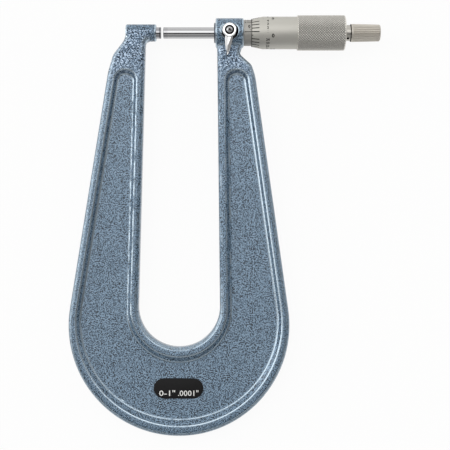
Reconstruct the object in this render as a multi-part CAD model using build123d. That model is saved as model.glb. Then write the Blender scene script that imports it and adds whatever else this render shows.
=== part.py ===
from build123d import *
from math import acos, atan2, cos, degrees, hypot, pi, radians, sin, tan
import os

# Deep throat outside micrometer, 0 to 1 inch, lying flat on its back.
# The origin is the centre of the anvil's measuring face. X runs along the spindle towards the
# ratchet, the throat reaches towards -Y, and +Z is the side with the lock lever. Sizes in mm.

# Measuring screw
travel = 25.4
opening = 1.2954
spindle_diameter = 6.35
spindle_tip_length = 2.4
face_chamfer = 0.15
thread_step = 0.625
thread_depth = 0.4
thread_relief_length = 2.0
taper_fall = 0.8
taper_length = 10.0

# Clearances, all radial unless the name says otherwise
running_clearance = 0.025
thread_clearance = 0.05
sleeve_clearance = 0.05
thimble_clearance = 0.10
end_gap = 0.30

# Anvil
anvil_reach = 2.7
anvil_tip_length = 1.0
anvil_shank_step = 0.775
anvil_shank_length = 12.0

# Frame casting
frame_thickness = 9.4
web_thickness = 4.4
edge_round = 2.5
throat_depth = 176.4
throat_radius = 22.8
throat_centre_x = 10.24
throat_left_inset = 5.82
throat_right_inset = 0.78
bow_width = 49.7
bow_radius = 61.9
bow_offset = 0.09

# Bosses at the two ends of the frame
anvil_boss_length = 17.04
anvil_boss_proud = 0.1
anvil_boss_fillet = 1.8
spindle_boss_wall = 2.6
spindle_boss_start = 30.6
spindle_boss_length = 15.75
boss_chamfer = 0.25

# Necks, where each arm narrows into its boss. A flare is how far a corner stands outside the end
# of its boss, an inset how far inside, and a drop how far it lies below the spindle axis.
anvil_neck_top_drop = 3.48
anvil_neck_top_round = 9.9
anvil_neck_flare = 7.01
anvil_neck_drop = 12.5
anvil_neck_round = 8.0
anvil_foot_flare = 9.945
anvil_foot_drop = 22.4
anvil_foot_round = 30.0
spindle_neck_top_inset = 0.45
spindle_neck_top_drop = 6.5
spindle_neck_top_round = 4.0
spindle_waist_inset = 2.2
spindle_waist_drop = 12.3
spindle_waist_round = 2.0
spindle_shoulder_flare = 4.45
spindle_shoulder_drop = 18.2
spindle_shoulder_round = 5.0
spindle_foot_flare = 6.53
spindle_foot_drop = 24.3
spindle_foot_round = 30.0

# Recess in each face of the frame: how far its edge lies inside the outline, at rim and at web
recess_arm_rim = 4.2
recess_arm_web = 6.1
recess_bow_rim = 5.7
recess_bow_web = 9.1
recess_throat_rim = 5.2
recess_throat_web = 8.4
recess_top_drop = 21.0
recess_end_slope = 2.3
recess_rim_round = 0.9
recess_foot_round = 1.2

# Name plate on the web
plate_length = 27.8
plate_width = 11.4
plate_thickness = 0.4
plate_offset = 0.25
plate_above_middle = 1.75
plate_edge_chamfer = 0.15

# Barrel that guides the spindle and carries the nut thread
barrel_wall = 1.4
barrel_proud = 0.8
guide_length = 11.2
nut_thread_length = 19.0
barrel_slot_count = 3
barrel_slot_width = 0.6
barrel_slot_length = 15.0
nut_height = 1.3
nut_width = 3.6

# Graduated sleeve over the barrel
sleeve_wall = 1.55
sleeve_overlap = 2.2
spanner_hole_diameter = 1.6
spanner_hole_depth = 1.0
spanner_hole_from_boss = 2.0

# Thimble
thimble_edge_from_anvil = 49.4
thimble_edge_wall = 0.4
thimble_wall = 1.7
thimble_cone_length = 6.3
thimble_plain_length = 19.4
knurl_height = 0.8
knurl_length = 26.8
knurl_front_chamfer = 0.5
knurl_rear_chamfer = 0.9
thimble_end_clearance = 5.7
thimble_bolt_clearance = 0.3

# Ratchet stop
stem_diameter = 8.8
stem_length = 2.9
stem_bolt_diameter = 3.0
stem_bolt_reach = 7.0
stem_hole_diameter = 1.2
stem_hole_depth = 1.6
stem_hole_turn = 55
ratchet_teeth = 24
tooth_fill = 0.9
tooth_depth = 0.30
tooth_clearance = 0.02
tooth_ring_width = 1.7
tooth_ring_gap = 0.35
knob_gap = 0.20
knob_length = 16.6
knob_diameter = 9.9
knob_fall = 0.3
knob_wall = 0.58
knob_plain_band = 1.3
knob_ribs = 28
knob_groove_depth = 0.32
knob_groove_half_width = 0.34
knob_chamfer = 0.5
knob_cavity_length = 8.2
knob_web_length = 2.6
disc_clearance = 0.05
disc_thickness = 1.2
disc_lugs = 3
disc_lug_width = 1.4
disc_lug_height = 0.4
ratchet_screw_diameter = 2.0
ratchet_screw_grip = 1.8
ratchet_screw_head_diameter = 4.0
ratchet_screw_head_height = 1.2
ratchet_screw_head_gap = 0.4
screw_slot_width = 0.5
screw_slot_depth = 0.5
spring_wire_diameter = 0.45
spring_mean_diameter = 4.2
spring_turns = 4

# Spindle lock
lock_from_boss = 7.8
lever_spot_depth = 0.8
lever_spot_margin = 0.4
lever_seat_gap = 0.15
hub_height = 2.2
hub_well_diameter = 5.4
hub_well_depth = 0.8
hub_rim = 1.0
hub_flare = 0.7
lever_reach = 13.8
lever_lean = 5.6
tail_boss_clearance = 0.1
tail_root_width = 4.6
tail_root_height = 1.3
tail_root_crown = 2.2
tail_tip_width = 0.9
tail_tip_height = 0.6
tail_tip_crown = 0.4
lock_screw_diameter = 4.0
lock_spigot_step = 0.5
lock_nose_length = 0.25
lock_plug_diameter = 2.8
lock_plug_rest_gap = 0.075
lock_stack_gap = 0.02
washer_thickness = 0.25
washer_rim_gap = 0.1
lever_screw_diameter = 1.6
lever_screw_grip = 1.6
lever_screw_head_diameter = 3.9
lever_screw_head_height = 1.3
lever_screw_head_chamfer = 0.3
cross_recess_length = 2.6
cross_recess_width = 0.6
cross_recess_depth = 0.6

# Diameters that follow from the spindle outwards
thread_diameter = spindle_diameter + 2 * thread_step
thread_relief_diameter = thread_diameter - 2 * thread_depth
nut_relief_diameter = thread_diameter + 2 * thread_depth
taper_large_diameter = nut_relief_diameter
taper_small_diameter = taper_large_diameter - 2 * taper_fall
barrel_diameter = nut_relief_diameter + 2 * barrel_wall
nut_outer_diameter = barrel_diameter + 2 * nut_height
sleeve_diameter = barrel_diameter + 2 * (sleeve_clearance + sleeve_wall)
thimble_cavity_diameter = sleeve_diameter + 2 * thimble_clearance
thimble_edge_diameter = thimble_cavity_diameter + 2 * thimble_edge_wall
thimble_diameter = thimble_cavity_diameter + 2 * thimble_wall
knurl_diameter = thimble_diameter + 2 * knurl_height
spindle_boss_radius = barrel_diameter / 2 + spindle_boss_wall
anvil_shank_diameter = spindle_diameter - 2 * anvil_shank_step

# Places along the spindle axis
anvil_boss_end = -anvil_reach
anvil_boss_start = anvil_boss_end - anvil_boss_length
spindle_boss_end = spindle_boss_start + spindle_boss_length
sleeve_end = thimble_edge_from_anvil + travel + sleeve_overlap
barrel_end = sleeve_end + end_gap + nut_width
nut_thread_start = barrel_end - nut_thread_length
guide_end = spindle_boss_start - barrel_proud + guide_length
thread_start = guide_end + end_gap + opening
thimble_edge = thimble_edge_from_anvil + opening
thimble_cone_end = thimble_edge + thimble_cone_length
knurl_start = thimble_cone_end + thimble_plain_length
thimble_end = knurl_start + knurl_length
cavity_end = barrel_end + opening + thimble_end_clearance
thread_end = cavity_end - thread_relief_length
taper_end = cavity_end + taper_length
stem_end = thimble_end + stem_length
knob_start = stem_end + knob_gap
knob_end = knob_start + knob_length
disc_face = stem_end + tooth_depth
disc_back = disc_face + disc_thickness
knob_web_start = knob_start + knob_cavity_length
knob_web_end = knob_web_start + knob_web_length

# Frame
half_frame = frame_thickness / 2
half_web = web_thickness / 2
throat_centre_y = throat_radius - throat_depth
bow_centre_x = throat_centre_x - bow_offset
bow_centre_y = bow_radius - throat_depth - bow_width
anvil_boss_radius = half_frame + anvil_boss_proud
plate_centre_x = bow_centre_x - plate_offset
plate_centre_y = -throat_depth - bow_width / 2 + plate_above_middle

# Ratchet
knob_small_diameter = knob_diameter - 2 * knob_fall
knob_cavity_diameter = knob_small_diameter - 2 * (knob_groove_depth + knob_wall)
knob_screw_well_diameter = ratchet_screw_head_diameter + 2 * ratchet_screw_head_gap
tooth_ring_outer_diameter = knob_cavity_diameter - 2 * tooth_ring_gap
tooth_ring_inner_diameter = tooth_ring_outer_diameter - 2 * tooth_ring_width
tooth_half_width = tooth_fill * pi * tooth_ring_inner_diameter / 2 / ratchet_teeth

# Lock
lock_x = spindle_boss_start + lock_from_boss
hub_top_diameter = hub_well_diameter + 2 * hub_rim
hub_base_diameter = hub_top_diameter + 2 * hub_flare
lever_seat_diameter = hub_base_diameter + 2 * lever_spot_margin
lever_seat_height = spindle_boss_radius - lever_spot_depth
lever_base = lever_seat_height + lever_seat_gap
well_floor = lever_base + hub_height - hub_well_depth
tail_base = spindle_boss_radius + tail_boss_clearance
lock_spigot_diameter = lock_screw_diameter - 2 * lock_spigot_step

stand_on_z = (Align.CENTER, Align.CENTER, Align.MIN)


def turned(*profile):
    """A piece turned about the spindle axis, from the (x, radius) corners of its half section."""
    section = make_face(Polyline(*profile, close=True))
    return revolve(section, Axis.X, 360)


def side_lean(circle, side, point):
    """Lean, in degrees, of the line from a point down to the left (-1) or right (1) of a circle."""
    centre_x, centre_y, radius = circle
    across = side * (point[0] - centre_x)
    up = point[1] - centre_y
    return degrees(atan2(up, across) - acos(radius / hypot(across, up)))


def point_on_side(circle, lean, side, y):
    """The point at height y on the line that touches a circle on one side and leans inwards."""
    touch = touch_point(circle, lean, side)
    return (touch[0] - side * (y - touch[1]) * tan(radians(lean)), y)


def touch_point(circle, lean, side):
    """Where that line touches the circle."""
    centre_x, centre_y, radius = circle
    return (centre_x + side * radius * cos(radians(lean)), centre_y + radius * sin(radians(lean)))


def widened(circle, leans, sides, bottom):
    """The circle that touches both leaning lines moved out by sides, and the bottom moved by bottom."""
    centre_x, centre_y, radius = circle
    left = radians(leans[0])
    shift = tan(radians(leans[0] - leans[1]) / 2)
    up = (sides - bottom) / (1 + sin(left) - cos(left) * shift)
    return (centre_x + up * shift, centre_y + up, radius + bottom + up)


def arch(circle, left_end, right_end):
    """The arc of a circle from one side of a U, round its bottom, to the other."""
    return ThreePointArc(left_end, (circle[0], circle[1] - circle[2]), right_end)


bow = (bow_centre_x, bow_centre_y, bow_radius)
throat = (throat_centre_x, throat_centre_y, throat_radius)
anvil_foot = (anvil_boss_start - anvil_foot_flare, -anvil_foot_drop)
spindle_foot = (spindle_boss_end + spindle_foot_flare, -spindle_foot_drop)
throat_left_top = (anvil_boss_end - throat_left_inset, 0)
throat_right_top = (spindle_boss_start + throat_right_inset, 0)
bow_leans = (side_lean(bow, -1, anvil_foot), side_lean(bow, 1, spindle_foot))
throat_leans = (side_lean(throat, -1, throat_left_top), side_lean(throat, 1, throat_right_top))


def frame_outline():
    """The U of the frame at mid thickness, with its two arms running up into the bosses."""
    bow_left = touch_point(bow, bow_leans[0], -1)
    bow_right = touch_point(bow, bow_leans[1], 1)
    throat_left = touch_point(throat, throat_leans[0], -1)
    throat_right = touch_point(throat, throat_leans[1], 1)

    anvil_top = (anvil_boss_start, 0)
    anvil_neck = FilletPolyline(
        anvil_top,
        (anvil_boss_start, -anvil_neck_top_drop),
        (anvil_boss_start - anvil_neck_flare, -anvil_neck_drop),
        anvil_foot,
        bow_left,
        radius=[anvil_neck_top_round, anvil_neck_round, anvil_foot_round],
    )
    spindle_top_x = spindle_boss_end - spindle_neck_top_inset
    spindle_neck = FilletPolyline(
        bow_right,
        spindle_foot,
        (spindle_boss_end + spindle_shoulder_flare, -spindle_shoulder_drop),
        (spindle_boss_end - spindle_waist_inset, -spindle_waist_drop),
        (spindle_top_x, -spindle_neck_top_drop),
        (spindle_top_x, 0),
        radius=[spindle_foot_round, spindle_shoulder_round, spindle_waist_round, spindle_neck_top_round],
    )

    # Under the anvil boss the throat side ends in a small round corner
    boss_under = -anvil_boss_radius
    corner_start = point_on_side(throat, throat_leans[0], -1, boss_under - anvil_boss_fillet)
    corner_end_x = point_on_side(throat, throat_leans[0], -1, boss_under)[0] + anvil_boss_fillet
    edges = [
        anvil_neck,
        arch(bow, bow_left, bow_right),
        spindle_neck,
        Line((spindle_top_x, 0), throat_right_top),
        Line(throat_right_top, throat_right),
        arch(throat, throat_left, throat_right),
        Line(throat_left, corner_start),
        RadiusArc(corner_start, (corner_end_x, boss_under), anvil_boss_fillet),
        Line((corner_end_x, boss_under), (corner_end_x, 0)),
        Line((corner_end_x, 0), anvil_top),
    ]
    return make_face(edges)


def recess_outline(arm_inset, bow_inset, throat_inset, top_drop):
    """The U of the recess. The insets say how far it lies inside the frame's outline."""
    outer = widened(bow, bow_leans, -arm_inset, -bow_inset)
    inner = widened(throat, throat_leans, arm_inset, throat_inset)
    ends = []
    for side, outer_lean, inner_lean in zip((-1, 1), bow_leans, throat_leans):
        outer_x = point_on_side(outer, outer_lean, side, -top_drop)[0]
        inner_x = point_on_side(inner, inner_lean, side, -top_drop)[0]
        end_drop = top_drop + abs(outer_x - inner_x) / 2
        outer_end = point_on_side(outer, outer_lean, side, -end_drop)
        inner_end = point_on_side(inner, inner_lean, side, -end_drop)
        apex = ((outer_end[0] + inner_end[0]) / 2, -top_drop)
        ends.append((outer_end, apex, inner_end))
    outer_left = touch_point(outer, bow_leans[0], -1)
    outer_right = touch_point(outer, bow_leans[1], 1)
    inner_left = touch_point(inner, throat_leans[0], -1)
    inner_right = touch_point(inner, throat_leans[1], 1)
    left_end, right_end = ends
    edges = [
        Line(left_end[0], outer_left),
        arch(outer, outer_left, outer_right),
        Line(outer_right, right_end[0]),
        ThreePointArc(*right_end),
        Line(right_end[2], inner_right),
        arch(inner, inner_left, inner_right),
        Line(inner_left, left_end[2]),
        ThreePointArc(*left_end),
    ]
    return make_face(edges)


def make_recess():
    """The hollow in one face of the frame: sloping sides, and a rounded foot at the web."""
    rim_level = recess_outline(recess_arm_rim, recess_bow_rim, recess_throat_rim, recess_top_drop)
    web_level = recess_outline(
        recess_arm_web, recess_bow_web, recess_throat_web, recess_top_drop + recess_end_slope
    )
    hollow = loft([Pos(0, 0, half_web) * web_level, Pos(0, 0, half_frame) * rim_level], ruled=True)
    return fillet(hollow.faces().sort_by(Axis.Z)[0].edges(), recess_foot_round)


def make_frame():
    """One iron casting: a plate with rounded edges, a recess each side, and two bosses."""
    half = extrude(frame_outline(), amount=half_frame)
    top_edges = half.faces().sort_by(Axis.Z)[-1].edges()
    half = fillet(top_edges.filter_by(lambda edge: round(edge.center().Y, 3) < 0), edge_round)
    half -= make_recess()
    rim = half.faces().sort_by(Axis.Z)[-1]
    half = fillet(rim.inner_wires()[0].edges(), recess_rim_round)
    body = half + mirror(half, Plane.XY)

    body += turned(
        (anvil_boss_start, 0),
        (anvil_boss_start, anvil_boss_radius - boss_chamfer),
        (anvil_boss_start + boss_chamfer, anvil_boss_radius),
        (anvil_boss_end - boss_chamfer, anvil_boss_radius),
        (anvil_boss_end, anvil_boss_radius - boss_chamfer),
        (anvil_boss_end, 0),
    )
    body += turned(
        (spindle_boss_start, 0),
        (spindle_boss_start, spindle_boss_radius - boss_chamfer),
        (spindle_boss_start + boss_chamfer, spindle_boss_radius),
        (spindle_boss_end - boss_chamfer, spindle_boss_radius),
        (spindle_boss_end, spindle_boss_radius - boss_chamfer),
        (spindle_boss_end, 0),
    )
    anvil_bore_depth = anvil_shank_length + end_gap
    body -= turned(
        (anvil_boss_end - anvil_bore_depth, 0),
        (anvil_boss_end - anvil_bore_depth, anvil_shank_diameter / 2),
        (anvil_boss_end, anvil_shank_diameter / 2),
        (anvil_boss_end, 0),
    )
    body -= turned(
        (spindle_boss_start, 0),
        (spindle_boss_start, barrel_diameter / 2),
        (spindle_boss_end, barrel_diameter / 2),
        (spindle_boss_end, 0),
    )
    seat = Cylinder(lever_seat_diameter / 2, spindle_boss_radius, align=stand_on_z)
    body -= Pos(lock_x, 0, lever_seat_height) * seat
    lock_hole_radius = lock_screw_diameter / 2 + thread_clearance
    lock_hole = Cylinder(lock_hole_radius, lever_seat_height, align=stand_on_z)
    return body - Pos(lock_x, 0, 0) * lock_hole


def make_name_plate():
    """Thin blackened plate with round ends, laid on the web."""
    outline = SlotOverall(plate_length, plate_width)
    plate = Pos(plate_centre_x, plate_centre_y, half_web) * extrude(outline, amount=plate_thickness)
    return chamfer(plate.faces().sort_by(Axis.Z)[-1].edges(), plate_edge_chamfer)


def make_anvil():
    """Steel anvil with a shank pressed into its boss. Its face is a carbide disc of its own."""
    radius = spindle_diameter / 2
    return turned(
        (anvil_boss_end - anvil_shank_length, 0),
        (anvil_boss_end - anvil_shank_length, anvil_shank_diameter / 2),
        (anvil_boss_end, anvil_shank_diameter / 2),
        (anvil_boss_end, radius),
        (-anvil_tip_length, radius),
        (-anvil_tip_length, 0),
    )


def make_anvil_tip():
    """Carbide disc brazed to the anvil: the fixed measuring face."""
    radius = spindle_diameter / 2
    return turned(
        (-anvil_tip_length, 0),
        (-anvil_tip_length, radius),
        (-face_chamfer, radius),
        (0, radius - face_chamfer),
        (0, 0),
    )


def make_spindle_tip():
    """Plain disc at the spindle's end: the moving measuring face."""
    radius = spindle_diameter / 2
    return turned(
        (opening, 0),
        (opening, radius - face_chamfer),
        (opening + face_chamfer, radius),
        (opening + spindle_tip_length, radius),
        (opening + spindle_tip_length, 0),
    )


def make_spindle():
    """Spindle: ground stem, screw thread, relief, and a taper that the thimble is drawn onto."""
    stem_radius = spindle_diameter / 2
    thread_radius = thread_diameter / 2
    bolt_radius = stem_bolt_diameter / 2
    bolt_hole_start = taper_end - end_gap - stem_bolt_reach - end_gap
    body = turned(
        (opening + spindle_tip_length, 0),
        (opening + spindle_tip_length, stem_radius),
        (thread_start, stem_radius),
        (thread_start + thread_radius - stem_radius, thread_radius),
        (thread_end, thread_radius),
        (thread_end, thread_relief_diameter / 2),
        (cavity_end, thread_relief_diameter / 2),
        (cavity_end, taper_large_diameter / 2),
        (taper_end - end_gap, taper_radius(taper_end - end_gap)),
        (taper_end - end_gap, 0),
    )
    body -= turned(
        (bolt_hole_start, 0),
        (bolt_hole_start, bolt_radius),
        (taper_end, bolt_radius),
        (taper_end, 0),
    )
    return body


def taper_radius(x):
    """Radius of the seat between spindle and thimble."""
    share = (x - cavity_end) / taper_length
    return (taper_large_diameter + share * (taper_small_diameter - taper_large_diameter)) / 2


def make_barrel():
    """Steel barrel pressed through the boss: guide bore in front, slotted nut thread behind."""
    outer = barrel_diameter / 2
    start = spindle_boss_start - barrel_proud
    body = turned(
        (start, spindle_diameter / 2 + running_clearance),
        (start, outer - boss_chamfer),
        (start + boss_chamfer, outer),
        (barrel_end, outer),
        (barrel_end, thread_diameter / 2 + thread_clearance),
        (nut_thread_start, thread_diameter / 2 + thread_clearance),
        (nut_thread_start, nut_relief_diameter / 2),
        (guide_end, nut_relief_diameter / 2),
        (guide_end, spindle_diameter / 2 + running_clearance),
    )
    slot = Pos(barrel_end - barrel_slot_length / 2, 0, outer / 2) * Box(
        barrel_slot_length, barrel_slot_width, outer
    )
    for number in range(barrel_slot_count):
        body -= Rot(number * 360 / barrel_slot_count, 0, 0) * slot
    plug_radius = lock_plug_diameter / 2 + running_clearance
    plug_hole = Cylinder(plug_radius, outer, align=stand_on_z)
    return body - Pos(lock_x, 0, 0) * plug_hole


def make_adjusting_nut():
    """Ring nut on the barrel's slotted end, which closes the thread as it wears."""
    return turned(
        (barrel_end - nut_width, barrel_diameter / 2),
        (barrel_end - nut_width, nut_outer_diameter / 2),
        (barrel_end, nut_outer_diameter / 2),
        (barrel_end, barrel_diameter / 2),
    )


def make_graduated_sleeve():
    """Sleeve with the inch scale, turned round the barrel to set zero."""
    outer = sleeve_diameter / 2
    body = turned(
        (spindle_boss_end, barrel_diameter / 2 + sleeve_clearance),
        (spindle_boss_end, outer),
        (sleeve_end, outer),
        (sleeve_end, barrel_diameter / 2 + sleeve_clearance),
    )
    hole = Cylinder(spanner_hole_diameter / 2, spanner_hole_depth * 2)
    return body - Pos(spindle_boss_end + spanner_hole_from_boss, 0, -outer) * hole


def make_thimble():
    """Thimble: thin bevelled edge, plain barrel, knurled grip, and a solid end with the taper seat."""
    cavity = thimble_cavity_diameter / 2
    grip = knurl_diameter / 2
    bolt_hole = stem_bolt_diameter / 2 + thimble_bolt_clearance
    return turned(
        (thimble_edge, cavity),
        (thimble_edge, thimble_edge_diameter / 2),
        (thimble_cone_end, thimble_diameter / 2),
        (knurl_start, thimble_diameter / 2),
        (knurl_start, grip - knurl_front_chamfer),
        (knurl_start + knurl_front_chamfer, grip),
        (thimble_end - knurl_rear_chamfer, grip),
        (thimble_end, grip - knurl_rear_chamfer),
        (thimble_end, bolt_hole),
        (taper_end, bolt_hole),
        (taper_end, taper_radius(taper_end)),
        (cavity_end, taper_radius(cavity_end)),
        (cavity_end, cavity),
    )


def make_ratchet_stem():
    """Stem: its bolt draws the thimble onto the spindle's taper, its end has the fixed ratchet teeth."""
    bolt = stem_bolt_diameter / 2
    ring_inner = tooth_ring_inner_diameter / 2
    ring_outer = tooth_ring_outer_diameter / 2
    tooth_top = stem_end + tooth_depth
    body = turned(
        (taper_end - end_gap - stem_bolt_reach, 0),
        (taper_end - end_gap - stem_bolt_reach, bolt),
        (thimble_end, bolt),
        (thimble_end, stem_diameter / 2),
        (stem_end, stem_diameter / 2),
        (stem_end, ring_outer),
        (tooth_top, ring_outer),
        (tooth_top, ring_inner),
        (stem_end, ring_inner),
        (stem_end, 0),
    )
    # The grooves reach a little past the ring, so that no thin skin is left
    groove = ratchet_ridge(tooth_half_width, tooth_depth, tooth_top, -1, face_chamfer)
    for number in range(ratchet_teeth):
        body -= Rot(number * 360 / ratchet_teeth, 0, 0) * groove
    screw_hole = ratchet_screw_diameter / 2
    hole_start = stem_end - ratchet_screw_grip
    body -= turned((hole_start, 0), (hole_start, screw_hole), (tooth_top, screw_hole), (tooth_top, 0))
    spanner = Pos(0, 0, stem_diameter / 2) * Cylinder(stem_hole_diameter / 2, stem_hole_depth * 2)
    return body - Pos((thimble_end + stem_end) / 2, 0, 0) * (Rot(stem_hole_turn, 0, 0) * spanner)


def ratchet_ridge(half_width, height, base_x, direction, overrun):
    """One radial triangular ridge, standing on the plane x = base_x and pointing along direction."""
    inner = tooth_ring_inner_diameter / 2 - overrun
    outer = tooth_ring_outer_diameter / 2 + overrun
    section = make_face(
        Polyline(
            (base_x, -half_width, inner),
            (base_x, half_width, inner),
            (base_x + direction * height, 0, inner),
            close=True,
        )
    )
    return extrude(section, amount=outer - inner, dir=(0, 0, 1))


def make_ratchet_disc():
    """Toothed disc that the spring holds against the stem. Its lugs slide in the knob's keyways."""
    radius = knob_cavity_diameter / 2 - disc_clearance
    hole = ratchet_screw_diameter / 2 + disc_clearance
    body = turned((disc_face, hole), (disc_face, radius), (disc_back, radius), (disc_back, hole))
    lug = Box(disc_thickness, disc_lug_width, disc_lug_height * 2)
    lug = Pos((disc_face + disc_back) / 2, 0, radius) * lug
    for number in range(disc_lugs):
        body += Rot(number * 360 / disc_lugs, 0, 0) * lug
    ridge_height = tooth_depth - tooth_clearance * 2
    ridge_half = tooth_half_width * ridge_height / tooth_depth
    ridge = ratchet_ridge(ridge_half, ridge_height, disc_face, -1, -face_chamfer)
    for number in range(ratchet_teeth):
        body += Rot(number * 360 / ratchet_teeth, 0, 0) * ridge
    return body


def make_ratchet_spring():
    """Coil spring between the disc and the knob's inner wall."""
    wire = spring_wire_diameter / 2
    length = knob_web_start - disc_back - spring_wire_diameter
    coil = Helix(length / spring_turns, length, spring_mean_diameter / 2)
    section = Plane(coil @ 0, z_dir=coil % 0) * Circle(wire)
    spring = sweep(section, path=coil)
    return Pos(disc_back + wire, 0, 0) * (Rot(0, 90, 0) * spring)


def make_ratchet_knob():
    """Ribbed ratchet knob: hollow in front for disc and spring, with a well behind for its screw."""
    large = knob_diameter / 2
    small = knob_small_diameter / 2
    cavity = knob_cavity_diameter / 2
    hole = ratchet_screw_diameter / 2 + disc_clearance
    body = turned(
        (knob_start, cavity),
        (knob_start, large - knob_chamfer / 2),
        (knob_start + knob_chamfer / 2, large),
        (knob_start + knob_plain_band, large),
        (knob_end - knob_chamfer, small),
        (knob_end, small - knob_chamfer),
        (knob_end, knob_screw_well_diameter / 2),
        (knob_web_end, knob_screw_well_diameter / 2),
        (knob_web_end, hole),
        (knob_web_start, hole),
        (knob_web_start, cavity),
    )
    lug_height = disc_lug_height + disc_clearance
    keyway_length = disc_back + disc_thickness - knob_start
    keyway = Pos(knob_start + keyway_length / 2, 0, cavity) * Box(
        keyway_length, disc_lug_width + disc_clearance * 2, lug_height * 2
    )
    for number in range(disc_lugs):
        body -= Rot(number * 360 / disc_lugs, 0, 0) * keyway
    groove_start = (knob_start + knob_plain_band, large)
    groove_end = (knob_end + knob_chamfer, small)
    groove = loft(
        [knob_groove_section(*groove_start), knob_groove_section(*groove_end)], ruled=True
    )
    for number in range(knob_ribs):
        body -= Rot(number * 360 / knob_ribs, 0, 0) * groove
    return body


def knob_groove_section(x, radius):
    """The V between two ribs of the knob, opening outwards at the given radius."""
    return make_face(
        Polyline(
            (x, 0, radius - knob_groove_depth),
            (x, knob_groove_half_width * 2, radius + knob_groove_depth),
            (x, -knob_groove_half_width * 2, radius + knob_groove_depth),
            close=True,
        )
    )


def make_ratchet_screw():
    """Slotted screw that holds the knob to the stem and lets it turn."""
    shank = ratchet_screw_diameter / 2
    head = ratchet_screw_head_diameter / 2
    head_start = knob_web_end + disc_clearance
    head_end = head_start + ratchet_screw_head_height
    shank_start = stem_end - ratchet_screw_grip
    body = turned(
        (shank_start, 0),
        (shank_start, shank),
        (head_start, shank),
        (head_start, head),
        (head_end, head),
        (head_end, 0),
    )
    slot = Box(screw_slot_depth * 2, screw_slot_width, ratchet_screw_head_diameter)
    return body - Pos(head_end, 0, 0) * slot


def lever_tail_section(distance, width, crown, height):
    """The roof-shaped cross section of the lever's tail, at a distance from the pivot."""
    return make_face(
        Polyline(
            (-width / 2, -distance, tail_base),
            (width / 2, -distance, tail_base),
            (width / 2, -distance, tail_base + height / 2),
            (crown / 2, -distance, tail_base + height),
            (-crown / 2, -distance, tail_base + height),
            (-width / 2, -distance, tail_base + height / 2),
            close=True,
        )
    )


def make_lock_lever():
    """Lock lever: a round hub with a well for its screw, and a tail that tapers to a point."""
    hub = Cone(hub_base_diameter / 2, hub_top_diameter / 2, hub_height, align=stand_on_z)
    root = lever_tail_section(hub_well_diameter / 2, tail_root_width, tail_root_crown, tail_root_height)
    tip = lever_tail_section(lever_reach, tail_tip_width, tail_tip_crown, tail_tip_height)
    lever = Pos(0, 0, lever_base) * hub + loft([root, tip], ruled=True)
    lever -= Pos(0, 0, well_floor) * Cylinder(hub_well_diameter / 2, hub_height, align=stand_on_z)
    lever -= Pos(0, 0, lever_base) * Cylinder(lock_spigot_diameter / 2, hub_height * 3)
    return Pos(lock_x, 0, 0) * (Rot(0, 0, -lever_lean) * lever)


def make_lever_washer():
    """Blackened washer in the hub's well, under the screw's head."""
    outer = hub_well_diameter / 2 - washer_rim_gap
    ring = Cylinder(outer, washer_thickness) - Cylinder(lever_screw_diameter / 2, washer_thickness)
    return Pos(lock_x, 0, well_floor + washer_thickness / 2) * ring


def make_lever_screw():
    """Cross-head screw that clamps the lever to the lock screw."""
    shank_length = lever_screw_grip + washer_thickness
    head = Cylinder(lever_screw_head_diameter / 2, lever_screw_head_height, align=stand_on_z)
    head = chamfer(head.faces().sort_by(Axis.Z)[-1].edges(), lever_screw_head_chamfer)
    shank = Pos(0, 0, -shank_length) * Cylinder(lever_screw_diameter / 2, shank_length, align=stand_on_z)
    arm = Box(cross_recess_length, cross_recess_width, cross_recess_depth * 2)
    cross = Pos(0, 0, lever_screw_head_height) * (arm + Rot(0, 0, 90) * arm)
    screw = head + shank - Rot(0, 0, 45) * cross
    return Pos(lock_x, 0, well_floor + washer_thickness) * screw


def make_lock_screw():
    """Lock screw in the boss: turned by the lever, it bears on the brass plug."""
    start = barrel_diameter / 2 + lever_seat_gap
    thread = Cylinder(lock_screw_diameter / 2, lever_seat_height - start, align=stand_on_z)
    spigot = Cylinder(lock_spigot_diameter / 2, well_floor - start, align=stand_on_z)
    nose = Cylinder(lock_plug_diameter / 2, lock_nose_length + lever_seat_gap, align=stand_on_z)
    tapped = Cylinder(lever_screw_diameter / 2, lever_screw_grip + lock_stack_gap, align=stand_on_z)
    screw = Pos(0, 0, start) * (thread + spigot)
    screw += Pos(0, 0, start - lever_seat_gap - lock_nose_length) * nose
    screw -= Pos(0, 0, well_floor - lever_screw_grip - lock_stack_gap) * tapped
    return Pos(lock_x, 0, 0) * screw


def make_lock_plug():
    """Brass plug in the barrel: the lock screw presses it onto the spindle."""
    radius = lock_plug_diameter / 2
    plug = Cylinder(radius, barrel_diameter / 2 - lock_nose_length, align=stand_on_z)
    clear = spindle_diameter / 2 + lock_plug_rest_gap
    saddle = turned(
        (guide_end, 0),
        (guide_end, clear),
        (lock_x * 2 - guide_end, clear),
        (lock_x * 2 - guide_end, 0),
    )
    return Pos(lock_x, 0, 0) * plug - saddle


nodes = {
    "frame": make_frame,
    "name_plate": make_name_plate,
    "anvil": make_anvil,
    "anvil_tip": make_anvil_tip,
    "spindle_barrel": make_barrel,
    "adjusting_nut": make_adjusting_nut,
    "graduated_sleeve": make_graduated_sleeve,
    "spindle": make_spindle,
    "spindle_tip": make_spindle_tip,
    "thimble": make_thimble,
    "ratchet_stem": make_ratchet_stem,
    "ratchet_disc": make_ratchet_disc,
    "ratchet_spring": make_ratchet_spring,
    "ratchet_knob": make_ratchet_knob,
    "ratchet_screw": make_ratchet_screw,
    "lock_lever": make_lock_lever,
    "lever_washer": make_lever_washer,
    "lever_screw": make_lever_screw,
    "lock_screw": make_lock_screw,
    "lock_plug": make_lock_plug,
}

os.makedirs("parts", exist_ok=True)
for name, make in nodes.items():
    export_step(make(), f"parts/{name}.step")
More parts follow.
